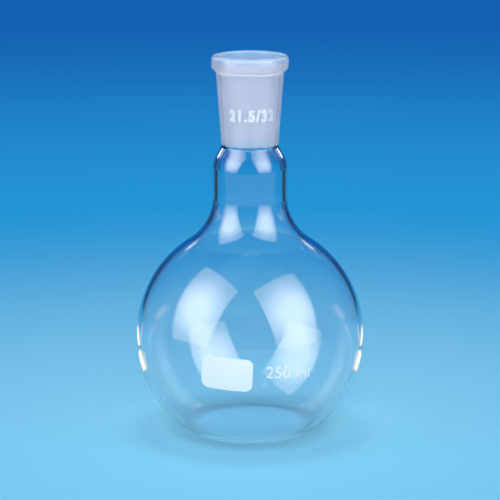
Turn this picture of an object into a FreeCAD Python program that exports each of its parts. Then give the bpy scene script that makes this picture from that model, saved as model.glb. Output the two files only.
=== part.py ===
import FreeCAD, Part
import math
import os
import Sketcher

# Flat bottom flask with a ground taper socket, blown in one piece of laboratory glass
# The origin is the middle of the base's contact face, and +Z runs up the neck
doc = FreeCAD.newDocument("FlatBottomFlask")

sizes = {
    # Bulb and base
    "bulb_diameter": 85.0,
    "bulb_wall": 1.5,
    "base_flat": 40.0,
    "base_edge": 8.0,
    "base_wall": 2.2,
    # Neck and the flare that leads into it
    "neck_diameter": 27.8,
    "neck_wall": 1.7,
    "neck_straight": 10.2,
    "flare_radius": 20.0,
    # Shoulder between the neck and the joint
    "shoulder_radius": 11.0,
    "shoulder_angle": 31.0,
    # Ground socket inside the joint: one in joint_taper on diameter, with a short throat below it
    "mouth_diameter": 21.5,
    "mouth_round": 1.0,
    "ground_length": 32.0,
    "joint_taper": 10.0,
    "throat_length": 1.6,
    # Outside of the joint: its wall at the foot, at the top of the cone and at the collar
    "foot_wall": 1.35,
    "cone_wall": 1.75,
    "collar_wall": 3.5,
    "foot_round": 1.0,
    "collar_height": 4.4,
    "collar_slope": 1.9,
    "collar_round": 1.4,
    "collar_root": 0.8,
}

sheet = doc.addObject("Spreadsheet::Sheet", "Sizes")
for row, (alias, value) in enumerate(sizes.items(), start=1):
    sheet.set("A%d" % row, alias)
    sheet.set("B%d" % row, str(value))
    sheet.setAlias("B%d" % row, alias)
doc.recompute()

# How far the hollow's outline runs past the mouth, so that the mouth is cut clean
overshoot = 2.0


def size(alias):
    return sizes[alias]


def spot(x, z):
    return FreeCAD.Vector(x, z, 0)


def polar(centre, radius, degrees):
    angle = math.radians(degrees)
    return spot(centre.x + radius * math.cos(angle), centre.y + radius * math.sin(angle))


class Outline:
    """A sketch on the body's XZ plane, drawn as one chain of lines and arcs."""

    def __init__(self, body, name):
        self.sketch = body.newObject("Sketcher::SketchObject", name)
        plane = [f for f in body.Origin.OriginFeatures if f.Role == "XZ_Plane"][0]
        self.sketch.AttachmentSupport = [(plane, "")]
        self.sketch.MapMode = "FlatFace"
        self.last = None
        self.first = None

    def follow(self, index, start, end, smooth):
        # Joins the new piece's start to the chain's end, tangent where the wall runs on smoothly
        if self.last is None:
            self.first = (index, start)
        else:
            kind = "Tangent" if smooth else "Coincident"
            self.sketch.addConstraint(Sketcher.Constraint(kind, self.last[0], self.last[1], index, start))
        self.last = (index, end)
        return index

    def line(self, start, end, smooth=False):
        index = self.sketch.addGeometry(Part.LineSegment(start, end))
        return self.follow(index, 1, 2, smooth)

    def arc(self, centre, radius, begin, finish, smooth=True):
        # Angles in degrees; a clockwise arc is stored the other way round
        low, high = min(begin, finish), max(begin, finish)
        circle = Part.Circle(centre, FreeCAD.Vector(0, 0, 1), radius)
        piece = Part.ArcOfCircle(circle, math.radians(low), math.radians(high))
        index = self.sketch.addGeometry(piece)
        ends = (1, 2) if begin < finish else (2, 1)
        return self.follow(index, ends[0], ends[1], smooth)

    def close(self):
        self.rule("Coincident", self.last[0], self.last[1], self.first[0], self.first[1])

    def rule(self, *parts):
        return self.sketch.addConstraint(Sketcher.Constraint(*parts))

    def bound(self, name, expression, *parts):
        index = self.rule(*parts)
        self.sketch.renameConstraint(index, name)
        self.sketch.setExpression("Constraints." + name, expression)

    def measured(self, name, *parts):
        index = self.rule(*parts)
        self.sketch.setDriving(index, False)
        self.sketch.renameConstraint(index, name)


# What follows from the driving sizes, first as the sketches' expressions
mouthReach = "Sizes.mouth_diameter / 2"
throatReach = "(Sizes.mouth_diameter - Sizes.ground_length / Sizes.joint_taper) / 2"
halfTaper = "atan(1 / (2 * Sizes.joint_taper))"
# The slanted wall is as thick as the neck, so the joint's foot stands this far above the throat's end
footRise = ("Sizes.neck_wall * sin(Sizes.shoulder_angle)"
            " + (Sizes.neck_wall * cos(Sizes.shoulder_angle) - Sizes.foot_wall) / tan(Sizes.shoulder_angle)")
# From that lower end up: the throat, the ground bore and the rounded mouth
socketHeight = ("Sizes.throat_length + Sizes.ground_length"
                " + Sizes.mouth_round * (1 - sin(%s))" % halfTaper)
coneLength = "%s - (%s) - Sizes.collar_slope - Sizes.collar_height" % (socketHeight, footRise)

# and then as numbers, so that both outlines are drawn close to their solved shape
bulbRadius = size("bulb_diameter") / 2
neckRadius = size("neck_diameter") / 2
mouthRadius = size("mouth_diameter") / 2
throatRadius = mouthRadius - size("ground_length") / size("joint_taper") / 2
taper = math.atan(0.5 / size("joint_taper"))
footRadius = throatRadius + size("foot_wall")
collarRadius = mouthRadius + size("collar_wall")
edge = size("base_edge")
bulbCentre = spot(0, edge + math.sqrt((bulbRadius - edge) ** 2 - (size("base_flat") / 2) ** 2))
slope = size("shoulder_angle")
steepness = math.tan(math.radians(slope))


def flareCentre(sphere, radius, reach):
    # Centre of an arc tangent outside a sphere of that radius, standing at that reach from the axis
    return spot(reach, bulbCentre.y + math.sqrt((sphere + radius) ** 2 - reach ** 2))


def lean(point):
    # Direction from the bulb's centre to a point, in degrees
    return math.degrees(math.atan2(point.y - bulbCentre.y, point.x - bulbCentre.x))


body = doc.addObject("PartDesign::Body", "Flask")
body.Label = "flask"

# Outer outline, from the middle of the base up to the collar and back along the axis
edgeCentre = spot(size("base_flat") / 2, edge)
flare = flareCentre(bulbRadius, size("flare_radius"), neckRadius + size("flare_radius"))
shoulderHeight = flare.y + size("neck_straight")
shoulder = spot(neckRadius - size("shoulder_radius"), shoulderHeight)
shoulderTop = polar(shoulder, size("shoulder_radius"), slope)
foot = spot(footRadius, shoulderTop.y + (shoulderTop.x - footRadius) / steepness)
innerShoulderRadius = size("shoulder_radius") - size("neck_wall")
innerShoulderTop = polar(shoulder, innerShoulderRadius, slope)
throatFoot = spot(throatRadius, innerShoulderTop.y + (innerShoulderTop.x - throatRadius) / steepness)
groundFoot = spot(throatRadius, throatFoot.y + size("throat_length"))
groundTop = spot(mouthRadius, groundFoot.y + size("ground_length"))
crest = groundTop.y + size("mouth_round") * (1 - math.sin(taper))
collarFoot = spot(collarRadius, crest - size("collar_height"))
coneTop = spot(mouthRadius + size("cone_wall"), collarFoot.y - size("collar_slope"))
collarRound = spot(collarRadius - size("collar_round"), crest - size("collar_round"))

outer = Outline(body, "OuterOutline")
baseLine = outer.line(spot(0, 0), spot(size("base_flat") / 2, 0))
baseEdge = outer.arc(edgeCentre, edge, -90, lean(edgeCentre))
bulb = outer.arc(bulbCentre, bulbRadius, lean(edgeCentre), lean(flare))
flareArc = outer.arc(flare, size("flare_radius"), 180 + lean(flare), 180)
neck = outer.line(polar(flare, size("flare_radius"), 180), spot(neckRadius, shoulderHeight), smooth=True)
shoulderArc = outer.arc(shoulder, size("shoulder_radius"), 0, slope)
slant = outer.line(shoulderTop, foot, smooth=True)
cone = outer.line(foot, coneTop)
underCollar = outer.line(coneTop, collarFoot)
collar = outer.line(collarFoot, spot(collarRadius, collarRound.y))
collarArc = outer.arc(collarRound, size("collar_round"), 0, 90)
rim = outer.line(spot(collarRound.x, crest), spot(0, crest), smooth=True)
spine = outer.line(spot(0, crest), spot(0, 0))
outer.close()

outer.rule("Coincident", baseLine, 1, -1, 1)
outer.rule("Horizontal", baseLine)
outer.rule("PointOnObject", bulb, 3, -2)
outer.rule("Vertical", neck)
outer.rule("Vertical", collar)
outer.rule("Horizontal", rim)
outer.rule("Vertical", spine)
outer.bound("baseFlat", "Sizes.base_flat / 2", "Distance", baseLine, size("base_flat") / 2)
outer.bound("baseEdge", "Sizes.base_edge", "Radius", baseEdge, edge)
outer.bound("bulb", "Sizes.bulb_diameter / 2", "Radius", bulb, bulbRadius)
outer.bound("flare", "Sizes.flare_radius", "Radius", flareArc, size("flare_radius"))
outer.bound("neck", "Sizes.neck_diameter / 2", "DistanceX", -1, 1, neck, 1, neckRadius)
outer.bound("neckStraight", "Sizes.neck_straight", "DistanceY", neck, 1, neck, 2, size("neck_straight"))
outer.bound("shoulder", "Sizes.shoulder_radius", "Radius", shoulderArc, size("shoulder_radius"))
outer.bound("slope", "90 + Sizes.shoulder_angle", "Angle", slant, math.radians(90 + slope))
outer.bound("foot", throatReach + " + Sizes.foot_wall", "DistanceX", -1, 1, slant, 2, footRadius)
outer.bound("cone", mouthReach + " + Sizes.cone_wall", "DistanceX", -1, 1, cone, 2, coneTop.x)
outer.bound("coneLength", coneLength, "DistanceY", cone, 1, cone, 2, coneTop.y - foot.y)
outer.bound("collar", mouthReach + " + Sizes.collar_wall", "DistanceX", -1, 1, collar, 1, collarRadius)
outer.bound("collarSlope", "Sizes.collar_slope",
            "DistanceY", underCollar, 1, underCollar, 2, size("collar_slope"))
outer.bound("collarHeight", "Sizes.collar_height", "DistanceY", collar, 1, rim, 1, size("collar_height"))
outer.bound("collarRound", "Sizes.collar_round", "Radius", collarArc, size("collar_round"))
outer.measured("bulbHeight", "DistanceY", -1, 1, bulb, 3, bulbCentre.y)
outer.measured("shoulderHeight", "DistanceY", -1, 1, neck, 2, shoulderHeight)
outer.measured("crest", "DistanceY", -1, 1, rim, 1, crest)
doc.recompute()

blown = body.newObject("PartDesign::Revolution", "BlownShape")
blown.Profile = outer.sketch
blown.ReferenceAxis = (outer.sketch, ["V_Axis"])
blown.Angle = 360
doc.recompute()

# Inner outline: the bulb's hollow, the neck bore, the throat, the ground taper and the rounded mouth
innerBulb = bulbRadius - size("bulb_wall")
innerEdge = edge - size("bulb_wall")
innerEdgeHeight = size("base_wall") + innerEdge
innerEdgeReach = math.sqrt((innerBulb - innerEdge) ** 2 - (bulbCentre.y - innerEdgeHeight) ** 2)
innerEdgeCentre = spot(innerEdgeReach, innerEdgeHeight)
boreRadius = neckRadius - size("neck_wall")
innerFlareRadius = size("flare_radius") + size("neck_wall")
innerFlare = flareCentre(innerBulb, innerFlareRadius, boreRadius + innerFlareRadius)
mouthCentre = spot(mouthRadius + size("mouth_round") * math.cos(taper), crest - size("mouth_round"))

inner = Outline(body, "InnerOutline")
floorLine = inner.line(spot(0, size("base_wall")), spot(innerEdgeReach, size("base_wall")))
floorEdge = inner.arc(innerEdgeCentre, innerEdge, -90, lean(innerEdgeCentre))
hollow = inner.arc(bulbCentre, innerBulb, lean(innerEdgeCentre), lean(innerFlare))
innerFlareArc = inner.arc(innerFlare, innerFlareRadius, 180 + lean(innerFlare), 180)
bore = inner.line(polar(innerFlare, innerFlareRadius, 180), spot(boreRadius, shoulderHeight), smooth=True)
innerShoulder = inner.arc(shoulder, innerShoulderRadius, 0, slope)
innerSlant = inner.line(innerShoulderTop, throatFoot, smooth=True)
throat = inner.line(throatFoot, groundFoot)
ground = inner.line(groundFoot, groundTop)
mouthArc = inner.arc(mouthCentre, size("mouth_round"), 180 - math.degrees(taper), 90)
mouthRise = inner.line(spot(mouthCentre.x, crest), spot(mouthCentre.x, crest + overshoot))
mouthLid = inner.line(spot(mouthCentre.x, crest + overshoot), spot(0, crest + overshoot))
innerSpine = inner.line(spot(0, crest + overshoot), spot(0, size("base_wall")))
inner.close()

inner.rule("PointOnObject", floorLine, 1, -2)
inner.rule("Horizontal", floorLine)
inner.rule("PointOnObject", hollow, 3, -2)
inner.rule("Vertical", bore)
inner.rule("Vertical", throat)
inner.rule("Vertical", mouthRise)
inner.rule("Vertical", mouthArc, 1, mouthArc, 3)
inner.rule("Horizontal", mouthLid)
inner.rule("Vertical", innerSpine)
inner.bound("baseWall", "Sizes.base_wall", "DistanceY", -1, 1, floorLine, 1, size("base_wall"))
inner.bound("bulbHeight", "OuterOutline.Constraints.bulbHeight", "DistanceY", -1, 1, hollow, 3, bulbCentre.y)
inner.bound("hollow", "Sizes.bulb_diameter / 2 - Sizes.bulb_wall", "Radius", hollow, innerBulb)
inner.bound("floorEdge", "Sizes.base_edge - Sizes.bulb_wall", "Radius", floorEdge, innerEdge)
inner.bound("flare", "Sizes.flare_radius + Sizes.neck_wall", "Radius", innerFlareArc, innerFlareRadius)
inner.bound("bore", "Sizes.neck_diameter / 2 - Sizes.neck_wall", "DistanceX", -1, 1, bore, 1, boreRadius)
inner.bound("boreTop", "OuterOutline.Constraints.shoulderHeight", "DistanceY", -1, 1, bore, 2, shoulderHeight)
inner.bound("shoulder", "Sizes.shoulder_radius - Sizes.neck_wall",
            "Radius", innerShoulder, innerShoulderRadius)
inner.bound("slope", "90 + Sizes.shoulder_angle", "Angle", innerSlant, math.radians(90 + slope))
inner.bound("throat", throatReach, "DistanceX", -1, 1, throat, 1, throatRadius)
inner.bound("mouth", mouthReach, "DistanceX", -1, 1, ground, 2, mouthRadius)
inner.bound("ground", "Sizes.ground_length", "DistanceY", ground, 1, ground, 2, size("ground_length"))
inner.bound("mouthRound", "Sizes.mouth_round", "Radius", mouthArc, size("mouth_round"))
inner.bound("crest", "OuterOutline.Constraints.crest", "DistanceY", -1, 1, mouthArc, 1, crest)
inner.rule("DistanceY", mouthRise, 1, mouthRise, 2, overshoot)
doc.recompute()

hollowed = body.newObject("PartDesign::Groove", "Hollow")
hollowed.Profile = inner.sketch
hollowed.ReferenceAxis = (inner.sketch, ["V_Axis"])
hollowed.Angle = 360
doc.recompute()


def ringEdge(shape, point):
    # Name of the round edge that a corner of the outer outline turns into
    for number, found in enumerate(shape.Edges, start=1):
        curve = found.Curve
        if isinstance(curve, Part.Circle) and abs(curve.Radius - point.x) < 1e-4:
            if abs(curve.Center.z - point.y) < 1e-4:
                return "Edge%d" % number
    raise ValueError("no ring at %s" % point)


# The glass worker's torch rounds the corner where the joint leaves the shoulder
footFillet = body.newObject("PartDesign::Fillet", "FootRound")
footFillet.Base = (hollowed, [ringEdge(hollowed.Shape, outer.sketch.Geometry[slant].EndPoint)])
footFillet.setExpression("Radius", "Sizes.foot_round")
doc.recompute()

# and the two corners of the slope under the collar
collarFillet = body.newObject("PartDesign::Fillet", "CollarRounds")
collarEdges = [outer.sketch.Geometry[cone].EndPoint, outer.sketch.Geometry[underCollar].EndPoint]
collarFillet.Base = (footFillet, [ringEdge(footFillet.Shape, point) for point in collarEdges])
collarFillet.setExpression("Radius", "Sizes.collar_root")
doc.recompute()

for outline in (outer, inner):
    if not outline.sketch.FullyConstrained:
        raise ValueError("%s isn't fully constrained" % outline.sketch.Name)
if not hollowed.Shape.Volume < blown.Shape.Volume:
    raise ValueError("the hollow didn't cut the blown shape")
for item in doc.Objects:
    if "Invalid" in item.State or "Error" in item.State:
        raise ValueError("%s failed: %s" % (item.Name, item.State))
if body.Shape.isNull() or not body.Shape.isValid():
    raise ValueError("the flask's solid isn't valid")

os.makedirs("parts", exist_ok=True)
body.Shape.exportStep("parts/%s.step" % body.Label)
print("%s: %.1f mm high, %.1f ml of glass" % (body.Label, body.Shape.BoundBox.ZMax, body.Shape.Volume / 1000))
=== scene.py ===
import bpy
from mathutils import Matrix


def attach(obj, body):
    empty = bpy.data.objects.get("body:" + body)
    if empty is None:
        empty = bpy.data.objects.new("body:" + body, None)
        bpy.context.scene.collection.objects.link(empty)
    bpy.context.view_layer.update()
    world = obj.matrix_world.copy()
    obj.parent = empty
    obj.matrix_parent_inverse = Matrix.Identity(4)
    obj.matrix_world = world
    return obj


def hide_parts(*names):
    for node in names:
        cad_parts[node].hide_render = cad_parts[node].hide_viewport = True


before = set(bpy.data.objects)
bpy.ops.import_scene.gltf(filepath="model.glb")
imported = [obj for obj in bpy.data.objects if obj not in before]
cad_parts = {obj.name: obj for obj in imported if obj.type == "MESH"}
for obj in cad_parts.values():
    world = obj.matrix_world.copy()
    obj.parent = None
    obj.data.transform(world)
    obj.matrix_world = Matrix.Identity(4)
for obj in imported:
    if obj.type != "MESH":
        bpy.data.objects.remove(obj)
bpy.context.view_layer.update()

import math
import bmesh
import bpy
from mathutils import Vector

millimetre = 0.001
# Draws the wall and its prints in a little, so that they stay inside the box of the solid's own facets
snug = 0.9985


def addObject(name, data):
    thing = bpy.data.objects.new(name, data)
    bpy.context.scene.collection.objects.link(thing)
    return thing


# Node trees, for shaders and for geometry alike

class Wire:
    # One output of a node; sums and products of wires add Math nodes to their tree
    def __init__(self, graph, socket):
        self.graph = graph
        self.socket = socket

    def __add__(self, other):
        return self.graph.maths("ADD", self, other)

    def __radd__(self, other):
        return self.graph.maths("ADD", other, self)

    def __sub__(self, other):
        return self.graph.maths("SUBTRACT", self, other)

    def __rsub__(self, other):
        return self.graph.maths("SUBTRACT", other, self)

    def __mul__(self, other):
        return self.graph.maths("MULTIPLY", self, other)

    def __rmul__(self, other):
        return self.graph.maths("MULTIPLY", other, self)

    def __truediv__(self, other):
        return self.graph.maths("DIVIDE", self, other)

    def __rtruediv__(self, other):
        return self.graph.maths("DIVIDE", other, self)

    def out(self, name):
        # Another output of the same node
        return Wire(self.graph, self.socket.node.outputs[name])


class Graph:
    def __init__(self, tree):
        self.tree = tree

    def add(self, kind, settings=None, sockets=None, out=0):
        node = self.tree.nodes.new(kind)
        for key, value in (settings or {}).items():
            setattr(node, key, value)
        for key, value in (sockets or {}).items():
            socket = node.inputs[key]
            if isinstance(value, Wire):
                self.tree.links.new(value.socket, socket)
            else:
                socket.default_value = value
        return Wire(self, node.outputs[out]) if len(node.outputs) else node

    def maths(self, operation, first, second=0.0):
        return self.add("ShaderNodeMath", {"operation": operation}, {0: first, 1: second})

    def smooth(self, value, low, high, start=0.0, end=1.0):
        # Runs smoothly from start to end while value goes from low to high
        return self.add("ShaderNodeMapRange", {"interpolation_type": "SMOOTHSTEP"},
                        {"Value": value, "From Min": low, "From Max": high, "To Min": start, "To Max": end})

    def mixColour(self, factor, first, second):
        # The node's colour sockets are its inputs 6 and 7 and its output 2
        return self.add("ShaderNodeMix", {"data_type": "RGBA"}, {0: factor, 6: first, 7: second}, out=2)

    def mixShader(self, factor, first, second):
        return self.add("ShaderNodeMixShader", {}, {0: factor, 1: first, 2: second})


def rgb(red, green, blue):
    # A colour given as it shows on screen, 0 to 255, as the linear value that Blender works in
    linear = []
    for channel in (red, green, blue):
        share = channel / 255
        linear.append(share / 12.92 if share <= 0.04045 else ((share + 0.055) / 1.055) ** 2.4)
    return (*linear, 1.0)


def newMaterial(name):
    material = bpy.data.materials.new(name)
    material.use_nodes = True
    material.node_tree.nodes.clear()
    return material, Graph(material.node_tree)


def finishMaterial(graph, surface):
    graph.add("ShaderNodeOutputMaterial", {}, {"Surface": surface})


# The flask's wall, from the same sizes as the solid, in millimetres

flask = {
    "bulbDiameter": 85.0,
    "bulbWall": 1.5,
    "baseFlat": 40.0,
    "baseEdge": 8.0,
    "baseWall": 2.2,
    "neckDiameter": 27.8,
    "neckWall": 1.7,
    "neckStraight": 10.2,
    "flareRadius": 20.0,
    "shoulderRadius": 11.0,
    "shoulderAngle": 31.0,
    "mouthDiameter": 21.5,
    "mouthRound": 1.0,
    "groundLength": 32.0,
    "jointTaper": 10.0,
    "throatLength": 1.6,
    "footWall": 1.35,
    "coneWall": 1.75,
    "collarWall": 3.5,
    "footRound": 1.0,
    "collarHeight": 4.4,
    "collarSlope": 1.9,
    "collarRound": 1.4,
    "collarRoot": 0.8,
    "innerRound": 0.5,     # torch-softened corners inside the throat
    "segments": 192,       # facets round the axis
    "runStep": 1.2,        # longest facet up a straight stretch
    "bulbStep": 1.25,      # facets of the arcs, in degrees
    "bendStep": 2.0,
    "slantStep": 2.5,
    "rimStep": 9.0,
    "cornerPieces": 6,
}


def arcPoints(centre, radius, begin, finish, step):
    count = max(2, round(abs(finish - begin) / step))
    angles = [math.radians(begin + (finish - begin) * k / count) for k in range(count + 1)]
    return [(centre[0] + radius * math.cos(a), centre[1] + radius * math.sin(a)) for a in angles]


def roundedCorner(before, corner, after, radius):
    # Replaces a corner by an arc that is tangent to both of its sides
    pieces = flask["cornerPieces"]
    here, inward, onward = Vector(corner), Vector(before), Vector(after)
    first, second = (inward - here).normalized(), (onward - here).normalized()
    half = math.acos(max(-1.0, min(1.0, first.dot(second)))) / 2
    centre = here + (first + second).normalized() * radius / math.sin(half)
    start = here + first * radius / math.tan(half) - centre
    end = here + second * radius / math.tan(half) - centre
    turn = start.angle_signed(end)
    points = []
    for k in range(pieces + 1):
        angle = -turn * k / pieces
        points.append((centre.x + start.x * math.cos(angle) - start.y * math.sin(angle),
                       centre.y + start.x * math.sin(angle) + start.y * math.cos(angle)))
    return points


def joined(stretches, step):
    # One chain through all the stretches, with facets no longer than the step on the straights between
    chain = [stretches[0][0]]
    for points in stretches:
        for point in points:
            gap = math.dist(chain[-1], point)
            if gap < 1e-4:
                continue
            pieces = max(1, math.ceil(gap / step))
            last = chain[-1]
            for k in range(1, pieces + 1):
                share = k / pieces
                chain.append(tuple(a + (b - a) * share for a, b in zip(last, point)))
    return chain


def flaskPlaces(size):
    # Heights and radii that follow from the sizes, the same way as in the solid
    place = {}
    bulb, edge = size["bulbDiameter"] / 2, size["baseEdge"]
    place["bulbCentre"] = edge + math.sqrt((bulb - edge) ** 2 - (size["baseFlat"] / 2) ** 2)
    place["neckRadius"] = size["neckDiameter"] / 2
    reach = place["neckRadius"] + size["flareRadius"]
    place["flare"] = (reach, place["bulbCentre"] + math.sqrt((bulb + size["flareRadius"]) ** 2 - reach ** 2))
    place["shoulder"] = (place["neckRadius"] - size["shoulderRadius"],
                         place["flare"][1] + size["neckStraight"])
    place["mouthRadius"] = size["mouthDiameter"] / 2
    place["throatRadius"] = place["mouthRadius"] - size["groundLength"] / size["jointTaper"] / 2
    place["taper"] = math.atan(0.5 / size["jointTaper"])
    angle = math.radians(size["shoulderAngle"])
    ends = []
    for radius, target in ((size["shoulderRadius"], place["throatRadius"] + size["footWall"]),
                           (size["shoulderRadius"] - size["neckWall"], place["throatRadius"])):
        top = (place["shoulder"][0] + radius * math.cos(angle),
               place["shoulder"][1] + radius * math.sin(angle))
        ends.append((target, top[1] + (top[0] - target) / math.tan(angle)))
    place["foot"], place["throatFoot"] = ends
    place["groundFoot"] = place["throatFoot"][1] + size["throatLength"]
    place["groundTop"] = place["groundFoot"] + size["groundLength"]
    place["crest"] = place["groundTop"] + size["mouthRound"] * (1 - math.sin(place["taper"]))
    place["collarRadius"] = place["mouthRadius"] + size["collarWall"]
    place["collarFoot"] = place["crest"] - size["collarHeight"]
    place["coneTop"] = (place["mouthRadius"] + size["coneWall"], place["collarFoot"] - size["collarSlope"])
    return place


def lean(centre, place):
    return math.degrees(math.atan2(centre[1] - place["bulbCentre"], centre[0]))


def wallOutline(size, place):
    # The whole wall's section, from the axis under the base, over the mouth and back to the axis inside
    bulb, edge, neck = size["bulbDiameter"] / 2, size["baseEdge"], place["neckRadius"]
    middle = (0.0, place["bulbCentre"])
    edgeCentre, flare, shoulder = (size["baseFlat"] / 2, edge), place["flare"], place["shoulder"]
    slope = size["shoulderAngle"]
    bulbStep, bendStep, rimStep = size["bulbStep"], size["bendStep"], size["rimStep"]
    slantTop = arcPoints(shoulder, size["shoulderRadius"], 0, slope, size["slantStep"])
    collarFoot = (place["collarRadius"], place["collarFoot"])
    collarRound = (place["collarRadius"] - size["collarRound"], place["crest"] - size["collarRound"])
    outside = [
        [(0.0, 0.0), (size["baseFlat"] / 2, 0.0)],
        arcPoints(edgeCentre, edge, -90, lean(edgeCentre, place), bendStep),
        arcPoints(middle, bulb, lean(edgeCentre, place), lean(flare, place), bulbStep),
        arcPoints(flare, size["flareRadius"], 180 + lean(flare, place), 180, bendStep),
        slantTop,
        roundedCorner(slantTop[-1], place["foot"], place["coneTop"], size["footRound"]),
        roundedCorner(place["foot"], place["coneTop"], collarFoot, size["collarRoot"]),
        roundedCorner(place["coneTop"], collarFoot, (collarFoot[0], collarRound[1]), size["collarRoot"]),
        arcPoints(collarRound, size["collarRound"], 0, 90, rimStep),
    ]
    innerBulb, innerEdge = bulb - size["bulbWall"], edge - size["bulbWall"]
    innerHeight = size["baseWall"] + innerEdge
    innerReach = math.sqrt((innerBulb - innerEdge) ** 2 - (place["bulbCentre"] - innerHeight) ** 2)
    innerCentre = (innerReach, innerHeight)
    innerFlareRadius = size["flareRadius"] + size["neckWall"]
    reach = neck + size["flareRadius"]
    innerFlare = (reach, place["bulbCentre"] + math.sqrt((innerBulb + innerFlareRadius) ** 2 - reach ** 2))
    innerSlant = arcPoints(shoulder, size["shoulderRadius"] - size["neckWall"], slope, 0, size["slantStep"])
    taper = place["taper"]
    mouthRound = size["mouthRound"]
    mouthCentre = (place["mouthRadius"] + mouthRound * math.cos(taper), place["crest"] - mouthRound)
    groundTop = (place["mouthRadius"], place["groundTop"])
    groundFoot = (place["throatRadius"], place["groundFoot"])
    inside = [
        arcPoints(mouthCentre, mouthRound, 90, 180 - math.degrees(taper), rimStep),
        roundedCorner(groundTop, groundFoot, place["throatFoot"], size["innerRound"]),
        roundedCorner(groundFoot, place["throatFoot"], innerSlant[0], size["innerRound"]),
        innerSlant,
        arcPoints(innerFlare, innerFlareRadius, 180, 180 + lean(innerFlare, place), bendStep),
        arcPoints(middle, innerBulb, lean(innerFlare, place), lean(innerCentre, place), bulbStep),
        arcPoints(innerCentre, innerEdge, lean(innerCentre, place), -90, bendStep),
        [(0.0, size["baseWall"])],
    ]
    outer = joined(outside, size["runStep"])
    return outer, joined([outer[-1:]] + inside, size["runStep"])[1:]


def latheTree(material):
    # Geometry Nodes: turns the outline that the modifier gets, a curve in the XZ plane, about the Z axis
    tree = bpy.data.node_groups.new("turnedWall", "GeometryNodeTree")
    face = tree.interface
    face.new_socket("Geometry", in_out="INPUT", socket_type="NodeSocketGeometry")
    face.new_socket("Outline Points", in_out="INPUT", socket_type="NodeSocketInt")
    face.new_socket("Outside Points", in_out="INPUT", socket_type="NodeSocketInt")
    face.new_socket("Segments", in_out="INPUT", socket_type="NodeSocketInt")
    face.new_socket("Weld Distance", in_out="INPUT", socket_type="NodeSocketFloat")
    face.new_socket("Geometry", in_out="OUTPUT", socket_type="NodeSocketGeometry")
    graph = Graph(tree)
    entry = graph.add("NodeGroupInput")
    count, segments = entry.out("Outline Points"), entry.out("Segments")
    # A grid of one column of outline points for each turn step, first and last column on the same place
    grid = graph.add("GeometryNodeMeshGrid", {}, {"Vertices X": segments + 1, "Vertices Y": count})
    index = graph.add("GeometryNodeInputIndex")
    turnStep = graph.maths("FLOOR", index / count)
    along = index - turnStep * count
    position = graph.add("GeometryNodeInputPosition")
    outlineSpot = graph.add("GeometryNodeSampleIndex", {"data_type": "FLOAT_VECTOR", "domain": "POINT"},
                            {"Geometry": entry.out("Geometry"), "Value": position, "Index": along})
    turned = graph.add("ShaderNodeVectorRotate", {"rotation_type": "Z_AXIS"},
                       {"Vector": outlineSpot, "Angle": turnStep / segments * math.tau})
    outside = graph.maths("LESS_THAN", along, entry.out("Outside Points"))
    marked = graph.add("GeometryNodeStoreNamedAttribute", {"data_type": "FLOAT", "domain": "POINT"},
                       {"Geometry": grid, "Name": "outside", "Value": outside})
    placed = graph.add("GeometryNodeSetPosition", {}, {"Geometry": marked, "Position": turned})
    welded = graph.add("GeometryNodeMergeByDistance", {},
                       {"Geometry": placed, "Distance": entry.out("Weld Distance")})
    smoothed = graph.add("GeometryNodeSetShadeSmooth", {}, {"Geometry": welded})
    realised = graph.add("GeometryNodeRealizeInstances", {}, {"Geometry": smoothed})
    finished = graph.add("GeometryNodeSetMaterial", {}, {"Geometry": realised, "Material": material})
    graph.add("NodeGroupOutput", {}, {"Geometry": finished})
    return tree


def setInput(modifier, name, value):
    for item in modifier.node_group.interface.items_tree:
        if item.item_type == "SOCKET" and item.in_out == "INPUT" and item.name == name:
            modifier[item.identifier] = value
            return
    raise ValueError("no input called " + name)


def evaluatedMesh(holder):
    # What an object's curve or text comes to as a mesh; the object itself is removed
    depsgraph = bpy.context.evaluated_depsgraph_get()
    depsgraph.update()
    mesh = bpy.data.meshes.new_from_object(holder.evaluated_get(depsgraph))
    bpy.data.objects.remove(holder)
    return mesh


def buildFlask(size, place, material):
    outer, inner = wallOutline(size, place)
    points = outer + inner
    curve = bpy.data.curves.new("flaskOutline", "CURVE")
    curve.dimensions = "3D"
    spline = curve.splines.new("POLY")
    spline.points.add(len(points) - 1)
    for point, (radius, height) in zip(spline.points, points):
        point.co = (radius * snug * millimetre, 0.0, height * millimetre, 1.0)
    holder = addObject("flaskOutline", curve)
    modifier = holder.modifiers.new("turnedWall", "NODES")
    modifier.node_group = latheTree(material)
    setInput(modifier, "Outline Points", len(points))
    setInput(modifier, "Outside Points", len(outer))
    setInput(modifier, "Segments", size["segments"])
    setInput(modifier, "Weld Distance", 0.001 * millimetre)
    piece = addObject("flaskGlass", evaluatedMesh(holder))
    facing(piece)
    print("flask wall:", len(piece.data.polygons), "faces from", len(points), "outline points")
    return piece


def facing(piece):
    # Turns a closed mesh's faces outwards if the volume they enclose comes out negative
    shape = bmesh.new()
    shape.from_mesh(piece.data)
    if shape.calc_volume(signed=True) < 0:
        bmesh.ops.reverse_faces(shape, faces=shape.faces)
    shape.to_mesh(piece.data)
    shape.free()


# Fired enamel marks, drawn flat in millimetres and laid on the glass

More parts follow.
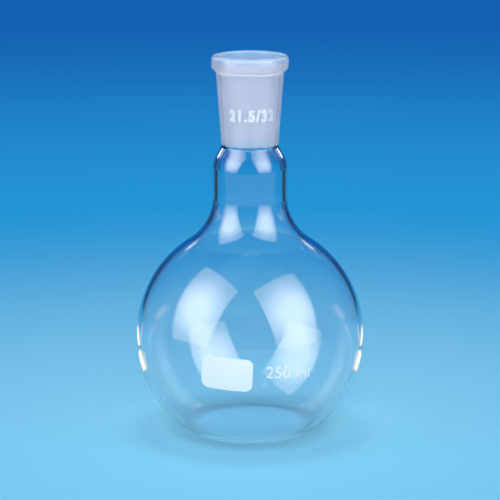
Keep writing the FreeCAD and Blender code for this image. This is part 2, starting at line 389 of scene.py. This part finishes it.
enamel = {
    "thickness": 0.03,     # above the glass
    "sunk": 0.02,          # fused into it
    "facet": 0.7,          # longest facet, so that the print follows the curve
    "cuts": 8,             # at most this many halvings to get there
    "cornerPieces": 8,     # of the spot's rounded corners
    "rings": 14,           # of faces from the spot's rim to its middle
    "drawnSize": 10.0,     # of numerals before they are stretched to size
    "drawnDepth": 1.0,
    "curveSteps": 5,
    "screenScale": 700.0,  # grain left by the printing screen
    "roughness": (0.32, 0.5),
    "ior": 1.5,
    "bump": 0.15,
    "bumpDepth": 0.02,
    "white": (rgb(248, 244, 239), rgb(253, 249, 245)),
}
markingSpot = {
    "azimuth": -11.5,      # where its middle is on the bulb, in degrees round from the front
    "latitude": -6.4,
    "tilt": -4.2,
    "width": 18.9,
    "height": 12.4,
    "cornerRadius": 2.6,
}
capacityMark = {
    "text": "250 ml",
    "azimuth": 19.3,
    "latitude": -6.0,
    "tilt": -3.6,
    "width": 16.8,
    "height": 4.4,
    "bold": 0.0,
    "spacing": 1.0,
}
jointMark = {
    "text": "21.5/32",
    "azimuth": 4.0,
    "height": 4.6,
    "width": 18.0,
    "level": 120.2,        # its middle, above the base
    "bold": 0.55,
    "spacing": 1.15,
}


def onBulb(mark, size, place):
    # Lays a point (across, up, out) of a flat mark on the bulb about the mark's middle
    radius = size["bulbDiameter"] / 2
    azimuth, latitude = math.radians(mark["azimuth"]), math.radians(mark["latitude"])
    outward = Vector((math.sin(azimuth) * math.cos(latitude), -math.cos(azimuth) * math.cos(latitude),
                      math.sin(latitude)))
    across = Vector((math.cos(azimuth), math.sin(azimuth), 0.0))
    up = outward.cross(across)
    tilt = math.radians(mark["tilt"])

    def lay(point):
        u = point.x * math.cos(tilt) - point.y * math.sin(tilt)
        v = point.x * math.sin(tilt) + point.y * math.cos(tilt)
        distance = math.hypot(u, v)
        direction = outward.copy()
        if distance > 1e-9:
            side = (across * u + up * v) / distance
            angle = distance / radius
            direction = outward * math.cos(angle) + side * math.sin(angle)
        return Vector((0, 0, place["bulbCentre"])) + direction * (radius + point.z)

    return lay


def onJoint(mark, size, place):
    # The same on the joint's outer cone
    low, high = place["foot"], place["coneTop"]

    def lay(point):
        height = mark["level"] + point.y
        radius = low[0] + (high[0] - low[0]) * (height - low[1]) / (high[1] - low[1])
        azimuth = math.radians(mark["azimuth"]) + point.x / radius
        radius += point.z
        return Vector((radius * math.sin(azimuth), -radius * math.cos(azimuth), height))

    return lay


def layPrint(shape, name, lay, material):
    # Cuts the flat print fine enough, lays it on the glass and makes it a piece
    for _ in range(enamel["cuts"]):
        long = [edge for edge in shape.edges if edge.calc_length() > enamel["facet"]]
        if not long:
            break
        bmesh.ops.subdivide_edges(shape, edges=long, cuts=1)
        bmesh.ops.triangulate(shape, faces=[face for face in shape.faces if len(face.verts) > 4])
    for vertex in shape.verts:
        spot = lay(vertex.co) * millimetre
        vertex.co = (spot.x * snug, spot.y * snug, spot.z)
    mesh = bpy.data.meshes.new(name)
    shape.to_mesh(mesh)
    shape.free()
    piece = addObject(name, mesh)
    mesh.materials.append(material)
    facing(piece)
    print(name + ":", len(mesh.polygons), "faces")
    return piece


def buildSpot(mark, lay, material):
    # A rounded rectangle of enamel to write on
    radius, step = mark["cornerRadius"], 90 / enamel["cornerPieces"]
    halfWide, halfHigh = mark["width"] / 2 - radius, mark["height"] / 2 - radius
    rim = []
    for quarter, (x, y) in enumerate(((1, 1), (-1, 1), (-1, -1), (1, -1))):
        rim += arcPoints((x * halfWide, y * halfHigh), radius, 90 * quarter, 90 * quarter + 90, step)
    shape = bmesh.new()
    levels = []
    for height in (-enamel["sunk"], enamel["thickness"]):
        levels.append([shape.verts.new((x, y, height)) for x, y in rim])
    bottom, top = levels
    for first in range(len(rim)):
        second = (first + 1) % len(rim)
        shape.faces.new((bottom[first], bottom[second], top[second], top[first]))
    for ring, height in ((bottom, -enamel["sunk"]), (top, enamel["thickness"])):
        previous = ring
        for row in range(1, enamel["rings"]):
            share = 1 - row / enamel["rings"]
            inner = [shape.verts.new((x * share, y * share, height)) for x, y in rim]
            for first in range(len(rim)):
                second = (first + 1) % len(rim)
                shape.faces.new((previous[first], previous[second], inner[second], inner[first]))
            previous = inner
        middle = shape.verts.new((0, 0, height))
        for first in range(len(rim)):
            shape.faces.new((previous[first], previous[(first + 1) % len(rim)], middle))
    bmesh.ops.recalc_face_normals(shape, faces=shape.faces)
    return layPrint(shape, "markingSpot", lay, material)


def buildNumerals(mark, name, lay, material):
    # Plain numerals in the built-in face, stretched to the mark's size
    text = bpy.data.curves.new(name, "FONT")
    text.body = mark["text"]
    text.size = enamel["drawnSize"]
    text.extrude = enamel["drawnDepth"]
    text.offset = mark["bold"]
    text.space_character = mark["spacing"]
    text.resolution_u = enamel["curveSteps"]
    flat = evaluatedMesh(addObject(name, text))
    shape = bmesh.new()
    shape.from_mesh(flat)
    bpy.data.meshes.remove(flat)
    bmesh.ops.remove_doubles(shape, verts=shape.verts, dist=1e-4)
    low = [min(vertex.co[axis] for vertex in shape.verts) for axis in range(3)]
    high = [max(vertex.co[axis] for vertex in shape.verts) for axis in range(3)]
    for vertex in shape.verts:
        across = (vertex.co.x - low[0]) / (high[0] - low[0]) - 0.5
        up = (vertex.co.y - low[1]) / (high[1] - low[1]) - 0.5
        out = enamel["thickness"] if vertex.co.z > 0 else -enamel["sunk"]
        vertex.co = (across * mark["width"], up * mark["height"], out)
    return layPrint(shape, name, lay, material)


# Materials

glassLook = {
    "ior": 1.474,                        # borosilicate
    "clear": rgb(253, 253, 254),
    "ripple": 0.012,
    "rippleScale": 38.0,
    "wear": 0.10,                        # scuffs round the foot that it stands on
    "wearHeight": (0.3, 1.8),            # where they fade out, in millimetres
    "wearReach": (-1.6, 0.4),            # where they start, from the rim of the flat base
    "scuffScale": 420.0,
    "scuffRise": 1.5,                    # how far they run up and down
    "footMilk": 0.16,                    # of the scuffs
    "thinFoot": 0.9,                     # how much the foot's edge lets straight through, seen along it
    "thinHeight": (1.0, 5.0),            # where that ends, here as in the next ones
    "thinFacing": (0.42, 0.6),
    "contact": 0.75,                     # what the base's underside lets straight through
    "contactHeight": (0.05, 0.5),
    "shade": (0.965, 0.97, 0.975, 1.0),  # what each surface leaves of the light to the floor
    "edgeShade": 0.45,                   # less where the wall is seen along its edge
    "heavyFoot": 0.34,                   # what of a lamp's light the wall passes round the foot
    "heavyHeight": (2.0, 12.0),
    "heavyReach": (19.0, 23.0),
}
groundLook = {
    "colour": rgb(236, 243, 252),
    "roughness": 0.40,
    "milk": rgb(214, 216, 222),
    # The collar's milk colour, also used for the painted highlight line where the collar starts
    "collarMilkAndHighlight": rgb(240, 232, 228),
    "lipMilk": rgb(204, 228, 252),
    "milkRoughness": 0.9,
    "milkIor": 1.2,
    "share": 0.31,
    "collarShare": 0.34,                 # whiter where the wall thickens into the collar
    "lipShare": 0.42,
    "rimShare": 0.36,                    # of the polished rim, which is paler than the wall
    "edgeShare": 0.22,                   # more where the wall is seen along its edge
    "edgeFacing": (0.35, 0.8),
    "collarEdge": 0.3,                   # what of that is left in the collar
    "grain": 0.3,
    "grainScale": 900.0,
    "grainRise": 1.2,                    # how far the grain roughens the ground bore's lower end
    "lowerEdge": (-0.25, 0.25),          # how softly the ground bore ends at its two ends, in millimetres
    "upperEdge": (-0.2, 0.3),
    "rimEdge": (-0.5, 0.4),
    "paintedHighlightLine": 135.8,                       # height of the painted highlight line, where the collar starts
    "highlightLineWidth": (0.2, 0.4),             # where it fades out on both sides
    "collarStart": (-0.2, 0.2),          # from that line
    "lipStart": 0.8,
    "highlightLineShare": 0.85,
    "collarTone": 0.7,                   # of the collar's own colour
}


def buildGlass(size, place):
    material, graph = newMaterial("borosilicateGlass")
    spot = graph.add("ShaderNodeTexCoord").out("Object")
    axes = graph.add("ShaderNodeSeparateXYZ", {}, {0: spot})
    x, y, height = axes.out("X") / millimetre, axes.out("Y") / millimetre, axes.out("Z") / millimetre
    reach = graph.maths("SQRT", x * x + y * y)
    outside = graph.add("ShaderNodeAttribute", {"attribute_name": "outside"}).out("Fac")

    # The bore of the joint is ground from the throat to the mouth
    grain = graph.add("ShaderNodeTexNoise", {}, {"Vector": spot, "Scale": groundLook["grainScale"],
                                                 "Detail": 4.0})
    rough = height + (grain - 0.5) * groundLook["grainRise"]
    above = graph.smooth(rough - place["groundFoot"], *groundLook["lowerEdge"])
    below = graph.smooth(height - place["groundTop"], *groundLook["upperEdge"], 1.0, 0.0)
    ground = above * below * (1 - outside)
    fromHighlightLine = height - groundLook["paintedHighlightLine"]
    # A painted highlight: a white line of milk round the joint where the collar starts, standing in for a
    # reflection in the collar's concave root
    paintedHighlightLine = graph.smooth(graph.maths("ABSOLUTE", fromHighlightLine), *groundLook["highlightLineWidth"], 1.0, 0.0)
    inCollar = graph.smooth(fromHighlightLine, *groundLook["collarStart"])
    inLip = graph.smooth(height, groundLook["paintedHighlightLine"] + groundLook["lipStart"], place["groundTop"])
    milky = groundLook["share"] + inCollar * (groundLook["collarShare"] - groundLook["share"])
    milky = milky + inLip * (groundLook["lipShare"] - groundLook["collarShare"])
    facingAway = graph.add("ShaderNodeLayerWeight", {}, {"Blend": 0.5}).out("Facing")
    alongWall = graph.smooth(facingAway, *groundLook["edgeFacing"])
    inEdge = (1 - (1 - groundLook["collarEdge"]) * inCollar) * alongWall
    milky = milky + groundLook["edgeShare"] * inEdge
    milky = milky * (1 - groundLook["grain"] / 2 + groundLook["grain"] * grain)
    # The painted highlight line is mostly milk
    milky = graph.maths("MAXIMUM", milky, paintedHighlightLine * groundLook["highlightLineShare"])

    ripples = graph.add("ShaderNodeTexNoise", {}, {"Vector": spot, "Scale": glassLook["rippleScale"],
                                                   "Detail": 1.0})
    bump = graph.add("ShaderNodeBump", {}, {"Strength": glassLook["ripple"], "Distance": millimetre,
                                            "Height": ripples})
    # Light that enters the foot's rounded edge would run round the wall for ever
    thinFoot = graph.smooth(height, *glassLook["thinHeight"], glassLook["thinFoot"], 0.0)
    thinFoot = thinFoot * graph.smooth(facingAway, *glassLook["thinFacing"]) * outside
    # Where the base lies close on the bench, its underside mirrors little
    contact = graph.smooth(height, *glassLook["contactHeight"], glassLook["contact"], 0.0) * outside
    straight = graph.maths("MAXIMUM", thinFoot, contact)
    wall = graph.add("ShaderNodeBsdfPrincipled", {}, {
        "Base Color": glassLook["clear"], "Roughness": 0.0, "IOR": glassLook["ior"],
        "Transmission Weight": 1.0, "Normal": bump, "Alpha": 1 - straight})
    frosted = graph.add("ShaderNodeBsdfPrincipled", {}, {
        "Base Color": groundLook["colour"], "Roughness": groundLook["roughness"], "IOR": glassLook["ior"],
        "Transmission Weight": 1.0})
    # The collar's own milk colour, and the same colour on the painted highlight line
    collarTone = graph.maths("MAXIMUM", paintedHighlightLine, inCollar * groundLook["collarTone"])
    milkColour = graph.mixColour(collarTone, groundLook["milk"], groundLook["collarMilkAndHighlight"])
    milkColour = graph.mixColour(inLip, milkColour, groundLook["lipMilk"])
    milk = graph.add("ShaderNodeBsdfPrincipled", {}, {
        "Base Color": milkColour, "Roughness": groundLook["milkRoughness"], "IOR": groundLook["milkIor"]})
    joint = graph.mixShader(milky, frosted, milk)

    # Scuffs on the ring that it stands on
    scuffs = graph.add("ShaderNodeTexNoise", {}, {"Vector": spot, "Scale": glassLook["scuffScale"],
                                                  "Detail": 5.0})
    scuffHeight = height + (scuffs - 0.5) * glassLook["scuffRise"]
    worn = graph.smooth(scuffHeight, *glassLook["wearHeight"], glassLook["wear"], 0.0)
    worn = worn * outside * graph.smooth(reach - size["baseFlat"] / 2, *glassLook["wearReach"])
    polished = graph.mixShader(worn, wall, graph.mixShader(glassLook["footMilk"], frosted, milk))
    rim = graph.smooth(height - place["groundTop"], *groundLook["rimEdge"])
    polished = graph.mixShader(rim * groundLook["rimShare"], polished, milk)

    # Lamps shine through, and the thick round of the foot keeps more of their light from the floor
    toLamp = graph.add("ShaderNodeLightPath").out("Is Shadow Ray")
    shade = graph.add("ShaderNodeBsdfTransparent", {}, {"Color": glassLook["shade"]})
    passing = toLamp * (1 - facingAway * facingAway * glassLook["edgeShade"])
    roundFoot = graph.smooth(height, *glassLook["heavyHeight"], 1.0, 0.0)
    roundFoot = roundFoot * graph.smooth(reach, *glassLook["heavyReach"])
    passing = passing * (1 - (1 - glassLook["heavyFoot"]) * roundFoot)
    finishMaterial(graph, graph.mixShader(passing, graph.mixShader(ground, polished, joint), shade))
    return material


def buildEnamel():
    material, graph = newMaterial("whiteEnamel")
    spot = graph.add("ShaderNodeTexCoord").out("Object")
    screen = graph.add("ShaderNodeTexNoise", {}, {"Vector": spot, "Scale": enamel["screenScale"],
                                                  "Detail": 3.0})
    shade = graph.mixColour(screen, *enamel["white"])
    gloss = graph.smooth(screen, 0.3, 0.7, *enamel["roughness"])
    bump = graph.add("ShaderNodeBump", {}, {
        "Strength": enamel["bump"], "Distance": enamel["bumpDepth"] * millimetre, "Height": screen})
    surface = graph.add("ShaderNodeBsdfPrincipled", {}, {
        "Base Color": shade, "Roughness": gloss, "IOR": enamel["ior"], "Normal": bump})
    finishMaterial(graph, surface)
    return material


# Stage: pale floor, soft boxes, daylight and the camera

stage = {
    "floorColour": rgb(133, 208, 236),
    "floorRadius": 6.0,
    "floorGap": 0.0001,              # between the glass and the floor
    "backdrop": rgb(20, 98, 178),
    "halfWay": rgb(38, 150, 214),    # the floor's far end, where it turns into the backdrop
    "nearFade": (0.06, 0.44),        # where the floor turns from its own colour to that one
    "farFade": (0.30, 1.2),
    "fill": 0.22,                    # what the room gives to matt surfaces
    "fillColour": rgb(112, 176, 255),
    "cloth": rgb(255, 245, 236),
    "target": (0.0, 0.0, 0.036),
    "boxDistance": 0.9,
    "boxRise": 35.3,
    "boxAzimuths": (-62.5, 48.0),
    "boxWidth": 0.866,
    "boxHeight": 1.165,
    "boxDrop": 0.0995,               # of its middle below the line to the target
    "boxPower": 3.0,
    "boxGlow": (7.2, 2.2),           # what shows in the glass, at the box's middle and edge
    "topLamp": {"place": (0.0, 0.08, 1.1), "size": 0.45, "power": 5.3},
    "frontLamp": {"place": (0.0, -1.3, 0.42), "size": 0.6, "power": 7.8},
    # Small white cards and dark flags behind the flask, on each side: middle, width, height, glow and what
    # shows them
    "cards": {
        "shoulderCard": ((0.068, 0.106, 0.1165), 0.020, 0.012, 2.4, "transmission"),
        "rimCard": ((0.260, 0.430, 0.490), 0.110, 0.120, 1.3, "glossy"),
        "bulbCard": ((0.256, 0.377, 0.285), 0.090, 0.045, 0.5, "glossy"),
        "shoulderFlag": ((0.169, 0.371, 0.136), 0.060, 0.042, 0.03, "transmission"),
        "flareFlag": ((0.213, 0.348, 0.099), 0.098, 0.046, 0.03, "transmission"),
        "throatFlag": ((0.213, 0.346, 0.056), 0.080, 0.046, 0.03, "transmission"),
        "limbFlag": ((0.146, 0.384, 0.052), 0.044, 0.058, 0.03, "transmission"),
        "neckFlag": ((0.247, 0.325, 0.018), 0.190, 0.034, 0.03, "transmission"),
    },
    # White cards lying on the floor beside and before the bulb: corners of the right one, height, glow in
    # the middle and at the ends, reach, and what shows them
    "floorCards": {
        "nearCard": (((0.056, 0.060), (0.075, 0.038), (0.095, 0.088), (0.063, 0.100)),
                     0.0005, 1.5, 0.7, 0.036, "both"),
        "farCard": (((0.080, 0.106), (0.100, 0.098), (0.112, 0.168), (0.084, 0.178)),
                    0.0007, 1.6, 0.9, 0.045, "both"),
        "frontCard": (((0.0, -0.38), (0.55, -0.05), (1.10, -0.25), (0.0, -1.00)),
                      0.0005, 0.9, 0.9, 0.5, "glossy"),
    },
}
view = {
    "distance": 0.970,
    "height": 0.2782,
    "aim": 0.06817,
    "lens": 192.5,
    "sensor": 36.0,
    "clip": (0.01, 50.0),
}


def seenDirectly(graph):
    # One for what the camera sees, also in a reflection and through glass
    path = graph.add("ShaderNodeLightPath")
    mirrored = graph.maths("MAXIMUM", path.out("Is Glossy Ray"), path.out("Is Transmission Ray"))
    return graph.maths("MAXIMUM", path.out("Is Camera Ray"), mirrored)


def buildWorld():
    world = bpy.data.worlds.new("paleRoom")
    bpy.context.scene.world = world
    world.use_nodes = True
    world.node_tree.nodes.clear()
    graph = Graph(world.node_tree)
    backdrop = graph.add("ShaderNodeBackground", {}, {"Color": stage["backdrop"], "Strength": 1.0})
    fill = graph.add("ShaderNodeBackground", {}, {"Color": stage["fillColour"], "Strength": stage["fill"]})
    graph.add("ShaderNodeOutputWorld", {}, {"Surface": graph.mixShader(seenDirectly(graph), fill, backdrop)})


def buildFloor():
    shape = bmesh.new()
    bmesh.ops.create_circle(shape, cap_ends=True, segments=96, radius=stage["floorRadius"])
    for vertex in shape.verts:
        vertex.co.z = -stage["floorGap"]
    mesh = bpy.data.meshes.new("floor")
    shape.to_mesh(mesh)
    shape.free()
    floor = addObject("floor", mesh)
    material, graph = newMaterial("paleFloor")
    cloth = graph.add("ShaderNodeBsdfPrincipled", {}, {
        "Base Color": stage["floorColour"], "Roughness": 1.0, "Specular IOR Level": 0.0})
    spot = graph.add("ShaderNodeTexCoord").out("Object")
    away = graph.add("ShaderNodeVectorMath", {"operation": "LENGTH"}, {0: spot}, out="Value")
    distant = graph.mixColour(graph.smooth(away, *stage["farFade"]), stage["halfWay"], stage["backdrop"])
    backdrop = graph.add("ShaderNodeEmission", {}, {"Color": distant, "Strength": 1.0})
    fade = graph.smooth(away, *stage["nearFade"]) * seenDirectly(graph)
    finishMaterial(graph, graph.mixShader(fade, cloth, backdrop))
    mesh.materials.append(material)


def glowing(name, middle, edge, reach=0.6, mirroredOnly=False):
    # Cloth or card that shows in the glass, brightest in the middle; the big cloths are hidden from rays
    # that have met no mirror or matt surface, so that they don't stand behind the glass as white walls
    material, graph = newMaterial(name)
    spot = graph.add("ShaderNodeTexCoord").out("Object")
    away = graph.add("ShaderNodeVectorMath", {"operation": "LENGTH"}, {0: spot}, out="Value")
    strength = graph.smooth(away, reach / 6, reach, middle, edge)
    light = graph.add("ShaderNodeEmission", {}, {"Color": stage["cloth"], "Strength": strength})
    if mirroredOnly:
        path = graph.add("ShaderNodeLightPath")
        mirrored = graph.maths("MINIMUM", path.out("Glossy Depth") + path.out("Diffuse Depth"), 1.0)
        gone = graph.add("ShaderNodeBsdfTransparent", {}, {"Color": (1, 1, 1, 1)})
        light = graph.mixShader(mirrored, gone, light)
    finishMaterial(graph, light)
    return material


def addLamp(name, wide, high, power, place, turn):
    lamp = bpy.data.lights.new(name, "AREA")
    lamp.shape = "RECTANGLE"
    lamp.size, lamp.size_y = wide, high
    lamp.energy = power
    holder = addObject(name, lamp)
    holder.location, holder.rotation_euler = place, turn
    holder.visible_glossy = holder.visible_transmission = holder.visible_camera = False


def addCard(name, corners, material):
    mesh = bpy.data.meshes.new(name)
    mesh.from_pydata(corners, [], [(0, 1, 2, 3)])
    mesh.materials.append(material)
    card = addObject(name, mesh)
    card.visible_camera = card.visible_diffuse = card.visible_shadow = False
    return card


def buildLights():
    cloth = glowing("softBoxCloth", *stage["boxGlow"], mirroredOnly=True)
    target = Vector(stage["target"])
    wide, high = stage["boxWidth"], stage["boxHeight"]
    for number, degrees in enumerate(stage["boxAzimuths"], start=1):
        azimuth, rise = math.radians(degrees), math.radians(stage["boxRise"])
        direction = Vector((math.sin(azimuth) * math.cos(rise), -math.cos(azimuth) * math.cos(rise),
                            math.sin(rise)))
        turn = direction.to_track_quat("Z", "Y")
        place = target + direction * stage["boxDistance"] - turn @ Vector((0, stage["boxDrop"], 0))
        addLamp("softLamp%d" % number, wide, high, stage["boxPower"], place, turn.to_euler())
        corners = [(-wide / 2, -high / 2, 0), (wide / 2, -high / 2, 0),
                   (wide / 2, high / 2, 0), (-wide / 2, high / 2, 0)]
        card = addCard("softBox%d" % number, corners, cloth)
        card.location, card.rotation_euler = place + direction * 0.01, turn.to_euler()
    for name in ("topLamp", "frontLamp"):
        lamp = stage[name]
        place = Vector(lamp["place"])
        turn = (place - target).to_track_quat("Z", "Y").to_euler()
        addLamp(name, lamp["size"], lamp["size"], lamp["power"], place, turn)
    for side, word in ((-1, "Left"), (1, "Right")):
        for name, (middle, wide, high, glow, path) in stage["cards"].items():
            place = Vector((side * middle[0], middle[1], middle[2]))
            turn = (place - target).to_track_quat("Z", "Y")
            corners = [place + turn @ Vector((u * wide / 2, v * high / 2, 0))
                       for u, v in ((-1, -1), (1, -1), (1, 1), (-1, 1))]
            card = addCard(name + word, corners, glowing(name, glow, glow))
            card.visible_glossy = path == "glossy"
            card.visible_transmission = path == "transmission"
        for name, (places, height, middle, ends, reach, path) in stage["floorCards"].items():
            centre = Vector((sum(x for x, y in places) / 4, sum(y for x, y in places) / 4))
            corners = [(side * (x - centre.x), y - centre.y, 0.0) for x, y in places]
            card = addCard(name + word, corners, glowing(name, middle, ends, reach))
            card.location = (side * centre.x, centre.y, height)
            card.visible_transmission = path != "glossy"


def buildCamera():
    camera = bpy.data.cameras.new("camera")
    camera.lens, camera.sensor_width = view["lens"], view["sensor"]
    camera.clip_start, camera.clip_end = view["clip"]
    holder = addObject("camera", camera)
    holder.location = (0.0, -view["distance"], view["height"])
    sight = Vector((0, 0, view["aim"])) - holder.location
    holder.rotation_euler = sight.to_track_quat("-Z", "Y").to_euler()
    bpy.context.scene.camera = holder


places = flaskPlaces(flask)
glass = buildGlass(flask, places)
flaskPiece = buildFlask(flask, places, glass)
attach(flaskPiece, "root")
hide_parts("flask")

white = buildEnamel()
prints = [
    buildSpot(markingSpot, onBulb(markingSpot, flask, places), white),
    buildNumerals(capacityMark, "capacityMark", onBulb(capacityMark, flask, places), white),
    buildNumerals(jointMark, "jointMark", onJoint(jointMark, flask, places), white),
]
for piece in prints:
    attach(piece, "root")

buildWorld()
buildFloor()
buildLights()
buildCamera()
bpy.context.scene.view_settings.view_transform = "Standard"
print("stage set")
